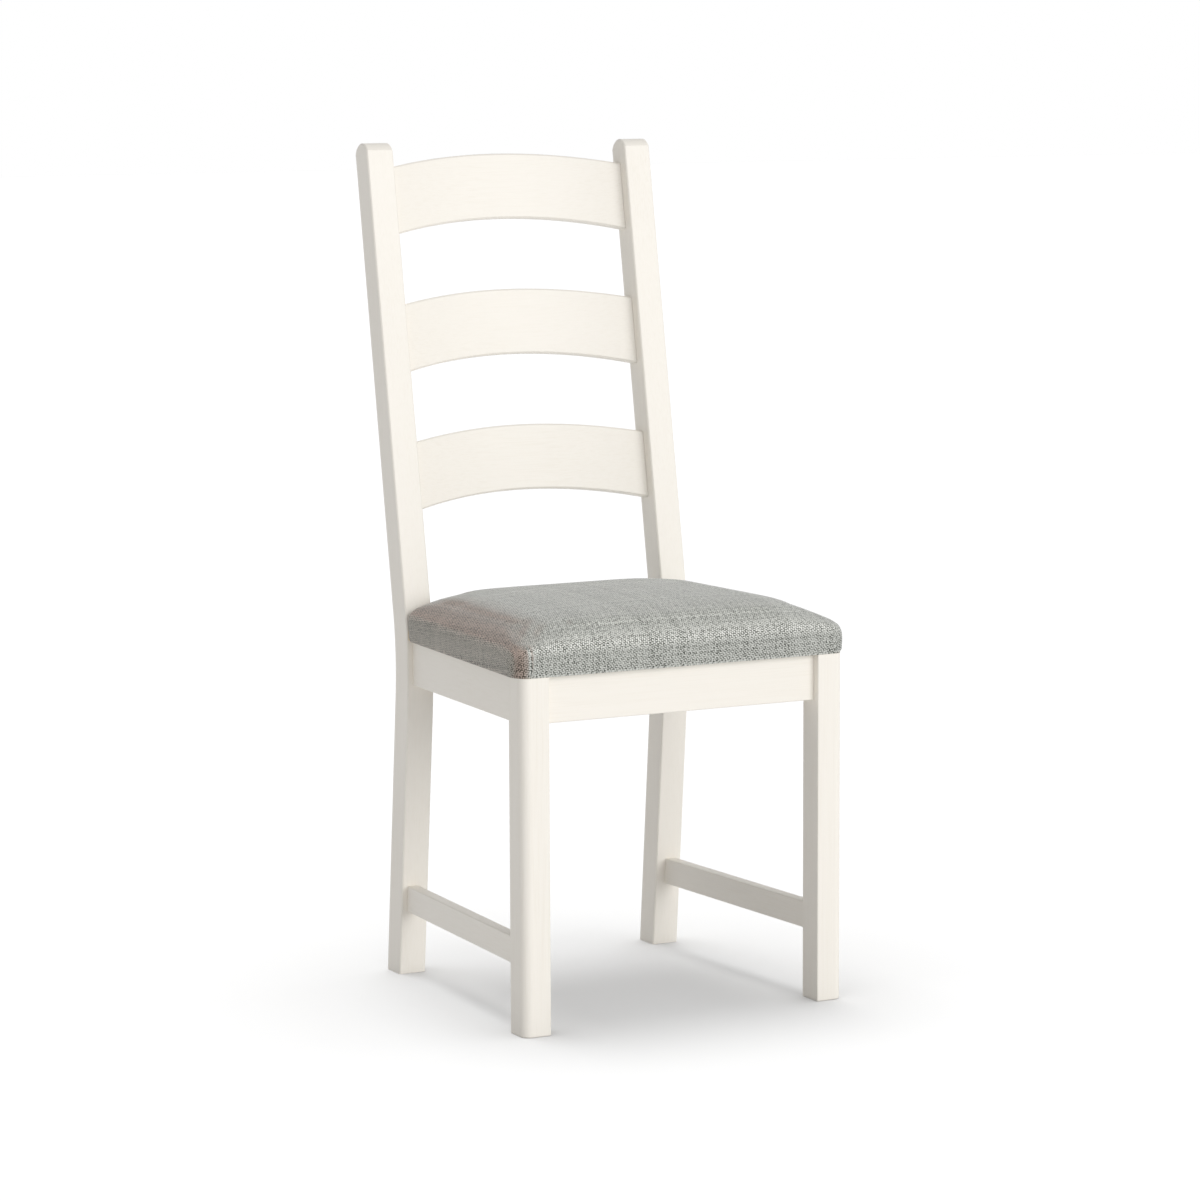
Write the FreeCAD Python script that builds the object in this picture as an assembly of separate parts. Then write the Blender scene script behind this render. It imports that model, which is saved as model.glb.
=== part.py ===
import FreeCAD, Part
import math
import os

# Ladderback dining chair with a padded seat, in millimetres, +Z up, facing -Y.
# Every setback below is measured backwards from the fronts of the front legs. The finished
# pieces are then moved as one, so that the origin lies on the floor under the middle of the chair.

# Whole chair
chair_height = 1070.0
front_width = 450.0
rear_width = 411.0
seat_frame_height = 441.0
arris = 1.5

# Front legs
leg_side = 37.0
leg_corner_radius = 12.0
foot_chamfer = 1.2

# Rear posts, cranked at the seat: the foot kicks back, the upper part leans back. The top is
# rounded to a shallow arc that meets the front and the back at a crease.
post_width = 37.0
post_foot_setback = 396.0
post_seat_setback = 363.0
post_foot_depth = 37.5
post_bend_depth = 33.0
post_top_depth = 36.0
post_crown = 11.5
lower_bend_height = 364.0
upper_bend_height = 451.0
back_bend_height = 419.0
back_rake = 9.83
lower_bend_radius = 420.0
upper_bend_radius = 110.0
back_bend_radius = 420.0

# Seat rails
rail_height = 58.0
rail_thickness = 22.0
front_rail_recess = 10.3
side_recess = 7.8
rear_rail_recess = 7.5

# Side stretchers
stretcher_top = 117.5
stretcher_height = 34.0
stretcher_thickness = 15.5

# Back slats: bowed backwards and arched upwards. The lower corners of the first and the top slat
# are placed up the lean of the posts, from the seat bend and from the top, and the rest between.
slat_width = 85.0
slat_thickness = 14.0
slat_arch = 21.4
slat_bow = 22.0
slat_recess = 15.5
first_slat_rise = 155.5
top_slat_drop = 116.7
slat_arris = 2.0
slat_names = ("bottom_slat", "middle_slat", "top_slat")

# Tenons and the mortises that hold them
rail_tenon_thickness = 9.0
rail_tenon_shoulder = 9.0
stretcher_tenon_thickness = 8.0
stretcher_tenon_shoulder = 5.0
stretcher_tenon_length = 18.0
slat_tenon_thickness = 8.0
slat_tenon_width = 62.0
slat_tenon_length = 16.0
mortise_side_clearance = 0.15
mortise_end_clearance = 1.0
mitre_gap = 0.8
mitre_waste_reach = 90.0
cutter_overrun = 1.0

# Corner blocks and the screws that hold the pad down through them
block_reach = 60.0
block_height = 32.0
block_drop = 3.0
block_notch_gap = 2.0
screw_radius = 2.0
screw_head_radius = 4.0
screw_head_height = 2.6
pilot_clearance = 0.1
shank_clearance = 0.25
seat_screw_inset = 24.0
seat_screw_bite = 9.0

# Seat pad. Its skin is drawn through outlines that lie further in the higher they are. At the
# front it hangs over the legs on both sides, and at the back it ends flush with the posts.
pad_front_overhang = 7.0
pad_rear_setback = 392.5
pad_gap = 1.0
board_thickness = 12.0
cover_thickness = 1.2
cover_turn_under = 40.0
pad_corner_radius = 20.0
crown_corner_radius = 66.0
corner_softening = 3.0
largest_corner_share = 0.45
foam_corner_steps = 4
side_swell = 1.5
widest_height = 24.0
side_height = 29.0
shoulder_width = 70.0
shoulder_height = 26.0
crown_width = 200.0
crown_height = 15.5
shoulder_steps = 7
crown_steps = 3

# Dust cover under the pad
dust_cover_thickness = 0.6
dust_cover_gap = 1.5
dust_cover_screw_gap = 1.0

# Sizes that follow from the ones above
clear_half_width = rear_width / 2 - post_width
leg_inner_x = front_width / 2 - leg_side
rail_bottom = seat_frame_height - rail_height
stretcher_bottom = stretcher_top - stretcher_height
kick_slope = (post_foot_setback - post_seat_setback) / lower_bend_height
rake = math.radians(back_rake)
back_length = (chair_height - upper_bend_height) / math.cos(rake)
slat_pitch = (back_length - first_slat_rise - top_slat_drop) / (len(slat_names) - 1)
slat_place = FreeCAD.Placement(
    FreeCAD.Vector(0, post_seat_setback, upper_bend_height),
    FreeCAD.Rotation(FreeCAD.Vector(1, 0, 0), -back_rake),
)


def vec(x, y, z):
    return FreeCAD.Vector(x, y, z)


def rounded_edges(corners, closed):
    """Lines joined by tangent arcs. Each corner is a point and its radius, 0 where it is sharp."""
    turns = []
    for index, (point, radius) in enumerate(corners):
        if radius == 0:
            turns.append((point, None, point))
            continue
        back = (corners[index - 1][0] - point).normalize()
        onward = (corners[(index + 1) % len(corners)][0] - point).normalize()
        half_angle = back.getAngle(onward) / 2
        reach = radius / math.tan(half_angle)
        inward = (back + onward).normalize()
        middle = point + inward * (radius / math.sin(half_angle) - radius)
        turns.append((point + back * reach, middle, point + onward * reach))
    edges = []
    for index, (start, middle, end) in enumerate(turns):
        if middle is not None:
            edges.append(Part.Arc(start, middle, end).toShape())
        if closed or index < len(turns) - 1:
            following = turns[(index + 1) % len(turns)][0]
            edges.append(Part.LineSegment(end, following).toShape())
    return edges


def prism(points, bottom, top):
    """Upright block with a plan outline of straight sides."""
    corners = [vec(x, y, bottom) for x, y in points]
    return Part.Face(Part.makePolygon(corners + corners[:1])).extrude(vec(0, 0, top - bottom))


def block(x_span, y_span, z_span):
    """Square block from three pairs of limits."""
    size = [high - low for low, high in (x_span, y_span, z_span)]
    return Part.makeBox(*size, vec(x_span[0], y_span[0], z_span[0]))


def mirrored(shape):
    """The same piece on the other side of the chair."""
    return shape.mirror(vec(0, 0, 0), vec(1, 0, 0))


def both_sides(shape):
    return [shape, mirrored(shape)]


def arc_radius(half_span, rise):
    """Radius of an arc from its half chord and its rise."""
    return (half_span ** 2 + rise ** 2) / (2 * rise)


# Rear posts

def post_front(height):
    """Setback of the front face of a post, below the seat."""
    return post_foot_setback - kick_slope * height


def post_body():
    """Right-hand post before its mortises: a cranked side profile, cut to width."""
    along = vec(0, math.sin(rake), math.cos(rake))
    across = vec(0, math.cos(rake), -math.sin(rake))
    foot_front = vec(0, post_foot_setback, 0)
    lower_bend = vec(0, post_seat_setback, lower_bend_height)
    upper_bend = vec(0, post_seat_setback, upper_bend_height)
    half_depth = post_top_depth / 2
    top_radius = arc_radius(half_depth, post_crown)
    crown_base = chair_height - top_radius + (top_radius - post_crown) * math.cos(rake)
    corner_rise = crown_base + half_depth * math.sin(rake) - upper_bend_height
    top_front = upper_bend + along * (corner_rise / math.cos(rake))
    top_back = top_front + across * post_top_depth
    top_apex = top_front + across * half_depth + along * post_crown
    back_bend = vec(0, post_seat_setback + post_bend_depth, back_bend_height)
    foot_back = vec(0, post_foot_setback + post_foot_depth, 0)
    front = rounded_edges(
        [
            (foot_front, 0),
            (lower_bend, lower_bend_radius),
            (upper_bend, upper_bend_radius),
            (top_front, 0),
        ],
        closed=False,
    )
    back = rounded_edges([(top_back, 0), (back_bend, back_bend_radius), (foot_back, 0)], closed=False)
    top = [Part.Arc(top_front, top_apex, top_back).toShape()]
    foot = [Part.LineSegment(foot_back, foot_front).toShape()]
    profile = Part.Face(Part.Wire(front + top + back + foot))
    profile.translate(vec(clear_half_width, 0, 0))
    body = profile.extrude(vec(post_width, 0, 0))
    long_edges = [edge for edge in body.Edges if not crosses(edge) and edge.BoundBox.ZMax > foot_chamfer]
    return body.makeChamfer(arris, long_edges)


def crosses(edge):
    """Whether an edge runs across the chair."""
    return edge.BoundBox.XLength > arris


def rear_post():
    """Right-hand post with a mortise for each rail, stretcher and slat."""
    post = post_body()
    seats = [slat_tenon(index, mortise=True) for index in range(len(slat_names))]
    seats += [side_rail_tenon(mortise=True), rear_rail_tenon(mortise=True), stretcher_tenon(mortise=True)]
    return post.cut(Part.makeCompound(seats))


# Front legs

def front_leg():
    """Right-hand leg, its outer front corner well rounded, with its three mortises."""
    outer_x = front_width / 2
    outline = [
        (vec(leg_inner_x, 0, 0), arris),
        (vec(outer_x, 0, 0), leg_corner_radius),
        (vec(outer_x, leg_side, 0), arris),
        (vec(leg_inner_x, leg_side, 0), arris),
    ]
    leg = Part.Face(Part.Wire(rounded_edges(outline, closed=True))).extrude(vec(0, 0, seat_frame_height))
    foot_edges = [edge for edge in leg.Edges if edge.BoundBox.ZMax < foot_chamfer]
    leg = leg.makeChamfer(foot_chamfer, foot_edges)
    seats = [front_rail_tenon(mortise=True), side_rail_tenon(mortise=True), stretcher_tenon(mortise=True)]
    return leg.cut(Part.makeCompound(seats))


# Rails and stretchers

def side_face_x(setback, rear_setback):
    """Outer face of a side member that runs from the leg to the post at rear_setback."""
    front_x = front_width / 2 - side_recess
    rear_x = rear_width / 2 - side_recess
    share = (setback - leg_side) / (rear_setback - leg_side)
    return front_x + (rear_x - front_x) * share


def side_strip(outer_inset, inner_inset, start, end, rear_setback, z_span):
    """Upright strip that runs with a side member, its ends square to the chair."""
    outline = [
        (side_face_x(start, rear_setback) - outer_inset, start),
        (side_face_x(end, rear_setback) - outer_inset, end),
        (side_face_x(end, rear_setback) - inner_inset, end),
        (side_face_x(start, rear_setback) - inner_inset, start),
    ]
    return prism(outline, *z_span)


def middle_strip(thickness, play, half_width):
    """Insets of a tenon or mortise that lies in the middle of a member's thickness."""
    middle = thickness / 2
    return middle - half_width - play, middle + half_width + play


def rail_tenon_span(play):
    return (rail_bottom + rail_tenon_shoulder - play, seat_frame_height - rail_tenon_shoulder + play)


def rail_corner(front):
    """Plan point where the middle of a side rail meets the middle of the front or rear rail."""
    if front:
        setback = front_rail_recess + rail_thickness / 2
    else:
        setback = post_seat_setback + rear_rail_recess + rail_thickness / 2
    return side_face_x(setback, post_seat_setback) - rail_thickness / 2, setback


def mitre_waste(corner, normal, z_span):
    """Everything past a slanting cut near the point where two tenons meet."""
    reach = mitre_waste_reach
    diagonal = math.sqrt(0.5)
    x = corner[0] - normal[0] * diagonal * mitre_gap / 2
    y = corner[1] - normal[1] * diagonal * mitre_gap / 2
    along = (-normal[1] * reach, normal[0] * reach)
    outward = (normal[0] * reach, normal[1] * reach)
    outline = [
        (x - along[0], y - along[1]),
        (x + along[0], y + along[1]),
        (x + along[0] + outward[0], y + along[1] + outward[1]),
        (x - along[0] + outward[0], y - along[1] + outward[1]),
    ]
    return prism(outline, z_span[0] - cutter_overrun, z_span[1] + cutter_overrun)


def cross_rail_tenon(shoulder_x, front, mortise):
    """Right-hand tenon of the front or rear rail, mitred where it meets the side rail's."""
    play = mortise_side_clearance if mortise else 0
    corner = rail_corner(front)
    half = rail_tenon_thickness / 2
    z_span = rail_tenon_span(play)
    end = corner[0] + half + (mortise_end_clearance if mortise else 0)
    y_span = (corner[1] - half - play, corner[1] + half + play)
    tenon = block((shoulder_x, end), y_span, z_span)
    if mortise:
        return tenon
    return tenon.cut(mitre_waste(corner, (1, 1 if front else -1), z_span))


def front_rail_tenon(mortise=False):
    return cross_rail_tenon(leg_inner_x, True, mortise)


def rear_rail_tenon(mortise=False):
    return cross_rail_tenon(clear_half_width, False, mortise)


def side_rail_tenon(mortise=False):
    """Tenons of the right-hand side rail, as one strip through leg and post."""
    play = mortise_side_clearance if mortise else 0
    deeper = mortise_end_clearance if mortise else 0
    half = rail_tenon_thickness / 2
    front_corner = rail_corner(True)
    rear_corner = rail_corner(False)
    z_span = rail_tenon_span(play)
    insets = middle_strip(rail_thickness, play, half)
    start = front_corner[1] - half - deeper
    end = rear_corner[1] + half + deeper
    strip = side_strip(*insets, start, end, post_seat_setback, z_span)
    if mortise:
        return strip
    front_waste = mitre_waste(front_corner, (-1, -1), z_span)
    rear_waste = mitre_waste(rear_corner, (-1, 1), z_span)
    return strip.cut(Part.makeCompound([front_waste, rear_waste]))


def eased(rail, edges_wanted):
    """Takes the sharpness off the chosen edges."""
    return rail.makeFillet(arris, [edge for edge in rail.Edges if edges_wanted(edge)])


def low_long_edge(edge):
    """Whether an edge runs along the bottom of a rail."""
    box = edge.BoundBox
    return box.ZMax < rail_bottom + arris and max(box.XLength, box.YLength) > 2 * rail_thickness


def cross_rail(half_length, start, tenon):
    """Rail between the two legs or the two posts."""
    rail = block((-half_length, half_length), (start, start + rail_thickness), (rail_bottom, seat_frame_height))
    return eased(rail, low_long_edge).multiFuse(both_sides(tenon)).removeSplitter()


def front_rail():
    return cross_rail(leg_inner_x, front_rail_recess, front_rail_tenon())


def rear_rail():
    return cross_rail(clear_half_width, post_seat_setback + rear_rail_recess, rear_rail_tenon())


def side_rail():
    """Right-hand seat rail, which runs in towards the back with the seat's taper."""
    z_span = (rail_bottom, seat_frame_height)
    rail = side_strip(0, rail_thickness, leg_side, post_seat_setback, post_seat_setback, z_span)
    return eased(rail, low_long_edge).fuse(side_rail_tenon()).removeSplitter()


def stretcher_rear_setback():
    """Setback at which the middle of a stretcher meets the post."""
    return post_front(stretcher_top - stretcher_height / 2)


def raked_strip(insets, start, past_post, z_span):
    """Strip of a stretcher whose back end follows the kicked-back front of the post."""
    rear = stretcher_rear_setback()
    strip = side_strip(*insets, start, rear + leg_side, rear, z_span)
    bottom, top = z_span
    outline = [
        vec(0, start, bottom),
        vec(0, post_front(bottom) + past_post, bottom),
        vec(0, post_front(top) + past_post, top),
        vec(0, start, top),
    ]
    keep = Part.Face(Part.makePolygon(outline + outline[:1])).extrude(vec(front_width, 0, 0))
    return strip.common(keep)


def stretcher_tenon(mortise=False):
    """Tenons of the right-hand stretcher, as one strip into leg and post."""
    play = mortise_side_clearance if mortise else 0
    depth = stretcher_tenon_length + (mortise_end_clearance if mortise else 0)
    insets = middle_strip(stretcher_thickness, play, stretcher_tenon_thickness / 2)
    z_span = (
        stretcher_bottom + stretcher_tenon_shoulder - play,
        stretcher_top - stretcher_tenon_shoulder + play,
    )
    return raked_strip(insets, leg_side - depth, depth, z_span)


def side_stretcher():
    """Right-hand stretcher with all four long edges eased."""
    body = raked_strip((0, stretcher_thickness), leg_side, 0, (stretcher_bottom, stretcher_top))
    body = eased(body, lambda edge: edge.BoundBox.YLength > 2 * leg_side)
    return body.fuse(stretcher_tenon()).removeSplitter()


# Back slats

def slat_rise(index):
    """Height of a slat's lower corners, measured up the raked post from the seat bend."""
    return first_slat_rise + index * slat_pitch


def slat_arcs():
    """Radii of the lower and upper edges, which share one centre."""
    lower = arc_radius(clear_half_width, slat_arch)
    return lower, lower + slat_width


def slat_end_width():
    """Width of a slat where it meets the post."""
    lower, upper = slat_arcs()
    return math.sqrt(upper ** 2 - clear_half_width ** 2) - (lower - slat_arch)


def band(inner_radius, outer_radius, centre, place):
    """Flat face between two arcs that share a centre, cut off square at the posts."""
    points = []
    for radius in (inner_radius, outer_radius):
        drop = math.sqrt(radius ** 2 - clear_half_width ** 2)
        points.append([place(x, centre + rise) for x, rise in
                       ((-clear_half_width, drop), (0, radius), (clear_half_width, drop))])
    inner, outer = points
    edges = [
        Part.Arc(*inner).toShape(),
        Part.LineSegment(inner[2], outer[2]).toShape(),
        Part.Arc(*outer[::-1]).toShape(),
        Part.LineSegment(outer[0], inner[0]).toShape(),
    ]
    return Part.Face(Part.Wire(edges))


def slat_tenon(index, mortise=False):
    """Right-hand tenon of a slat in its place in the chair, or the mortise for it."""
    play = mortise_side_clearance if mortise else 0
    deeper = mortise_end_clearance if mortise else 0
    bow_radius = arc_radius(clear_half_width, slat_bow)
    slant = math.sqrt((bow_radius + slat_thickness) ** 2 - clear_half_width ** 2) - (bow_radius - slat_bow)
    middle_depth = slat_recess + slant / 2
    middle_rise = slat_rise(index) + slat_end_width() / 2
    start = clear_half_width if mortise else clear_half_width - slat_arris
    tenon = block(
        (start, clear_half_width + slat_tenon_length + deeper),
        (middle_depth - slat_tenon_thickness / 2 - play, middle_depth + slat_tenon_thickness / 2 + play),
        (middle_rise - slat_tenon_width / 2 - play, middle_rise + slat_tenon_width / 2 + play),
    )
    tenon.Placement = slat_place
    return tenon


def slat(index):
    """Slat cut from a bowed blank along two arcs, with a tenon at each end."""
    rise = slat_rise(index)
    lower, upper = slat_arcs()
    bow_radius = arc_radius(clear_half_width, slat_bow)
    elevation = band(lower, upper, rise + slat_arch - lower, lambda x, up: vec(x, 0, up))
    sawn = elevation.extrude(vec(0, slat_recess + slat_bow + 2 * slat_thickness, 0))
    plan = band(
        bow_radius,
        bow_radius + slat_thickness,
        slat_recess + slat_bow - bow_radius,
        lambda x, depth: vec(x, depth, rise - slat_arch),
    )
    bent = plan.extrude(vec(0, 0, slat_width + 3 * slat_arch))
    body = sawn.common(bent)
    body = body.makeChamfer(slat_arris, [edge for edge in body.Edges if edge.BoundBox.XLength > slat_width])
    body.Placement = slat_place
    return body.multiFuse(both_sides(slat_tenon(index))).removeSplitter()


# Corner blocks and seat screws

def side_inner_x(setback):
    return side_face_x(setback, post_seat_setback) - rail_thickness


def block_corner(front):
    """The two rail faces and the two faces of the leg or post that a corner block sits among."""
    if front:
        rail_face = front_rail_recess + rail_thickness
        return rail_face, leg_inner_x, leg_side, 1
    return post_seat_setback + rear_rail_recess, clear_half_width, post_seat_setback, -1


def block_levels():
    top = seat_frame_height - block_drop
    return top - block_height, top


def corner_block(front):
    """Right-hand block across a corner of the seat frame, notched round the leg or post."""
    rail_face, post_x, post_y, inward = block_corner(front)
    far_y = post_y + inward * block_reach
    near_y = post_y + inward * block_notch_gap
    near_x = post_x - block_notch_gap
    outline = [
        (near_x, rail_face),
        (post_x - block_reach, rail_face),
        (side_inner_x(far_y), far_y),
        (side_inner_x(near_y), near_y),
        (near_x, near_y),
    ]
    spot, length = seat_screw(front)
    hole = Part.makeCylinder(screw_radius + shank_clearance, length, spot)
    return prism(outline, *block_levels()).cut(hole)


def seat_screw(front):
    """Seat of the head and length of the right-hand screw, which stands upright in its block."""
    _, post_x, post_y, inward = block_corner(front)
    bottom, _ = block_levels()
    spot = vec(post_x - seat_screw_inset, post_y + inward * seat_screw_inset, bottom)
    tip_height = seat_frame_height + cover_thickness + seat_screw_bite
    return spot, tip_height - bottom


def screw_holes(clearance):
    """Holes for the four seat screws, with room all round and past the tip."""
    holes = []
    for spot, length in (seat_screw(True), seat_screw(False)):
        holes += both_sides(Part.makeCylinder(screw_radius + clearance, length + cutter_overrun, spot))
    return holes


def seat_fixing_screws():
    """The four screws as separate solids, plain shanks under flat round heads."""
    screws = []
    for spot, length in (seat_screw(True), seat_screw(False)):
        head = Part.makeCylinder(screw_head_radius, screw_head_height, spot - vec(0, 0, screw_head_height))
        screws += both_sides(head.fuse(Part.makeCylinder(screw_radius, length, spot)))
    return Part.makeCompound(screws)


# Seat pad

def pad_side_x(setback):
    """Side of the pad: a straight line from beyond the leg's outer face to the post's."""
    front_x = front_width / 2 + pad_front_overhang
    taper = (front_x - rear_width / 2) / post_seat_setback
    return front_x - taper * setback


def pad_edges(inset, height, drawn_in=0):
    """Arcs and lines round the pad, in turn. The corners soften as the crown draws in."""
    front = inset
    rear = pad_rear_setback - inset
    soft_radius = min(pad_corner_radius + corner_softening * drawn_in, crown_corner_radius)
    radius = min(soft_radius, (rear - front) * largest_corner_share)
    corners = [
        (vec(-pad_side_x(front) + inset, front, height), radius),
        (vec(pad_side_x(front) - inset, front, height), radius),
        (vec(pad_side_x(rear) - inset, rear, height), radius),
        (vec(-pad_side_x(rear) + inset, rear, height), radius),
    ]
    return rounded_edges(corners, closed=True)


def pad_outline(inset, height, drawn_in=0):
    """Closed outline of the pad without its notches."""
    return Part.Wire(pad_edges(inset, height, drawn_in))


def pad_height(drawn_in):
    """Height of the pad's skin over the seat frame, in from its widest line."""
    past_shoulder = 1 - min(drawn_in / shoulder_width, 1)
    past_crown = 1 - min(drawn_in / crown_width, 1)
    shoulder = shoulder_height * math.sqrt(1 - past_shoulder ** 2)
    return side_height + shoulder + crown_height * (1 - past_crown ** 2)


def board_top():
    return seat_frame_height + cover_thickness + board_thickness


def pad_levels(depth):
    """Inset, height and draw-in of each outline of the crown, at a depth below the outside."""
    draws = [shoulder_width * (step / shoulder_steps) ** 2 for step in range(1, shoulder_steps + 1)]
    stride = (crown_width - shoulder_width) / (crown_steps + 1)
    draws += [shoulder_width + stride * step for step in range(1, crown_steps + 1)]
    levels = [(depth, board_top(), 0), (depth - side_swell, seat_frame_height + widest_height, 0)]
    for drawn_in in draws:
        height = seat_frame_height + pad_height(drawn_in) - depth
        levels.append((drawn_in - side_swell + depth, height, drawn_in))
    return levels


def post_notches(depth):
    """Cut-outs at the rear corners of the pad, round the posts."""
    edge_x = clear_half_width - pad_gap - depth
    edge_y = post_seat_setback - pad_gap - depth
    notch = block((edge_x, front_width), (edge_y, 2 * pad_rear_setback), (0, chair_height))
    return both_sides(notch)


def board_blank():
    """Plywood base of the pad before its holes, just inside the cover."""
    outline = Part.Face(pad_outline(cover_thickness, seat_frame_height + cover_thickness))
    return outline.extrude(vec(0, 0, board_thickness)).cut(Part.makeCompound(post_notches(cover_thickness)))


def seat_board():
    """Plywood base with the holes that the seat screws bite in."""
    return board_blank().cut(Part.makeCompound(screw_holes(pilot_clearance)))


def seat_foam():
    """Foam that gives the pad its crown, on top of the board. Its corners are cut in flats."""
    rings = []
    for level in pad_levels(cover_thickness):
        arcs = pad_edges(*level)[::2]
        ring = [point for arc in arcs for point in arc.discretize(foam_corner_steps + 1)]
        rings.append(ring + ring[:1])
    faces = [Part.Face(Part.makePolygon(ring)) for ring in (rings[0], rings[-1])]
    for lower, upper in zip(rings, rings[1:]):
        for index in range(len(lower) - 1):
            flat = [lower[index], lower[index + 1], upper[index + 1], upper[index], lower[index]]
            faces.append(Part.Face(Part.makePolygon(flat)))
    foam = Part.makeSolid(Part.makeShell(faces))
    return foam.cut(Part.makeCompound(post_notches(cover_thickness)))


def seat_cover():
    """Fabric skin over foam and board, turned under the board all round."""
    lower = Part.Face(pad_outline(0, seat_frame_height)).extrude(vec(0, 0, board_top() - seat_frame_height))
    crown = Part.makeLoft([pad_outline(*level) for level in pad_levels(0)], True, True)
    outside = lower.fuse(crown).cut(Part.makeCompound(post_notches(0)))
    opening = Part.Face(pad_outline(cover_turn_under, seat_frame_height)).extrude(vec(0, 0, board_thickness))
    return outside.cut(Part.makeCompound([board_blank(), opening])).cut(seat_foam())


def dust_cover():
    """Thin sheet that closes the underside of the pad inside the rails."""
    top = seat_frame_height
    front_face, leg_x, leg_y, _ = block_corner(True)
    rear_face, post_x, post_y, _ = block_corner(False)
    front_y = front_face + dust_cover_gap
    rear_y = rear_face - dust_cover_gap
    near_leg = 2 * dust_cover_gap + leg_y - front_y
    near_post = 2 * dust_cover_gap + rear_y - post_y
    leg_end_y = leg_y + dust_cover_gap
    right = [
        (leg_x - near_leg, front_y),
        (side_inner_x(leg_end_y) - dust_cover_gap, leg_y + 2 * dust_cover_gap + side_inner_x(leg_y) - leg_x),
        (side_inner_x(post_y) - dust_cover_gap, post_y - 2 * dust_cover_gap - side_inner_x(post_y) + post_x),
        (post_x - near_post, rear_y),
    ]
    left = [(-x, y) for x, y in right[::-1]]
    sheet = prism(right + left, top - dust_cover_thickness, top)
    return sheet.cut(Part.makeCompound(screw_holes(dust_cover_screw_gap)))


# All pieces of the chair

def chair_pieces():
    """Every piece under the name of its file."""
    pieces = {
        "front_rail": front_rail(),
        "rear_rail": rear_rail(),
        "seat_board": seat_board(),
        "seat_foam": seat_foam(),
        "seat_cover": seat_cover(),
        "dust_cover": dust_cover(),
        "seat_fixing_screws": seat_fixing_screws(),
    }
    pairs = {
        "rear_post": rear_post(),
        "front_leg": front_leg(),
        "side_rail": side_rail(),
        "side_stretcher": side_stretcher(),
        "corner_block_front": corner_block(True),
        "corner_block_rear": corner_block(False),
    }
    for name, shape in pairs.items():
        pieces[name + "_right"] = shape
        pieces[name + "_left"] = mirrored(shape)
    for index, name in enumerate(slat_names):
        pieces[name] = slat(index)
    return pieces


os.makedirs("parts", exist_ok=True)
pieces = chair_pieces()
whole = Part.makeCompound(list(pieces.values())).optimalBoundingBox(False)
for name, shape in pieces.items():
    shape.translate(vec(0, -whole.Center.y, 0))
    shape.exportStep("parts/" + name + ".step")
    solids = shape.Solids
    box = shape.optimalBoundingBox(False)
    state = "valid" if shape.isValid() else "NOT VALID"
    print(name, len(solids), state, "volume", round(sum(solid.Volume for solid in solids)),
          "x", round(box.XMin, 1), round(box.XMax, 1), "y", round(box.YMin, 1), round(box.YMax, 1),
          "z", round(box.ZMin, 1), round(box.ZMax, 1))
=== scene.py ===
"""Painted ladderback dining chair with a padded seat: finishes, soft parts and small fittings.

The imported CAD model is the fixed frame. The wooden pieces keep their CAD meshes and get their
paint here. The seat's fabric, the cloth under it, its staples and its screws are modelled here.
"""

from __future__ import annotations

import logging
import math
from dataclasses import dataclass, field
from enum import Enum
from typing import Any, Callable, Sequence

import bpy
import numpy as np
from bpy.types import Material, Mesh, MeshPolygon, Node, NodeSocket, NodeTree, Object
from mathutils import Matrix, Vector


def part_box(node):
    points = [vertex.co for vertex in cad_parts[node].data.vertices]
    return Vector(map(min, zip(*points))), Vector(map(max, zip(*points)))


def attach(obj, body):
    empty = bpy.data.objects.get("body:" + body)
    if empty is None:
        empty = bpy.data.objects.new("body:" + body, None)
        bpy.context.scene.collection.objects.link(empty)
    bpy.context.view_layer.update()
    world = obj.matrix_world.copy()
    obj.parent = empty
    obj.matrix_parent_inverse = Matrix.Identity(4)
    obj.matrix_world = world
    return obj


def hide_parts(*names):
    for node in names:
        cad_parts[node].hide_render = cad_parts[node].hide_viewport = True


logging.basicConfig(level=logging.INFO, format="%(name)s: %(message)s")
log = logging.getLogger("dining_chair")

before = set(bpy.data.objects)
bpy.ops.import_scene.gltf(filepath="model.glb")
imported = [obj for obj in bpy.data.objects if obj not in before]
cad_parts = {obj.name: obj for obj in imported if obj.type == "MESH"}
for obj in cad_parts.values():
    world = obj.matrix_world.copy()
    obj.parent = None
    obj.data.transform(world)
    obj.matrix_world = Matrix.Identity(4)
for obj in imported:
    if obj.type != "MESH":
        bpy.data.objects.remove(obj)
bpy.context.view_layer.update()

MM = 0.001
BODY = "root"
# A face whose normal reaches this much along an axis looks that way.
SQUARE_ON = 0.9
Colour = tuple[float, float, float, float]


def linear(code: str) -> Colour:
    """Turns an sRGB hex code into the linear colour that Blender works in.

    Args:
        code: six hex digits after a hash sign.

    Returns:
        Red, green, blue and a full alpha.
    """
    channels = [int(code[start:start + 2], 16) / 255 for start in (1, 3, 5)]
    curved = [c / 12.92 if c <= 0.04045 else ((c + 0.055) / 1.055) ** 2.4 for c in channels]
    return (curved[0], curved[1], curved[2], 1.0)


def add_node(tree: NodeTree, kind: str, inputs: dict[str | int, Any] | None = None, **settings: Any) -> Node:
    """Adds a node, with its settings, its values and its links.

    Args:
        tree: the node tree that gets the node.
        kind: the node's type without its "ShaderNode" prefix.
        inputs: a value or another node's output socket for each named or numbered input.
        settings: the node's own properties.

    Returns:
        The new node.
    """
    node = tree.nodes.new("ShaderNode" + kind)
    for name, value in settings.items():
        setattr(node, name, value)
    for name, value in (inputs or {}).items():
        if isinstance(value, NodeSocket):
            tree.links.new(value, node.inputs[name])
        else:
            node.inputs[name].default_value = value
    return node


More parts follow.
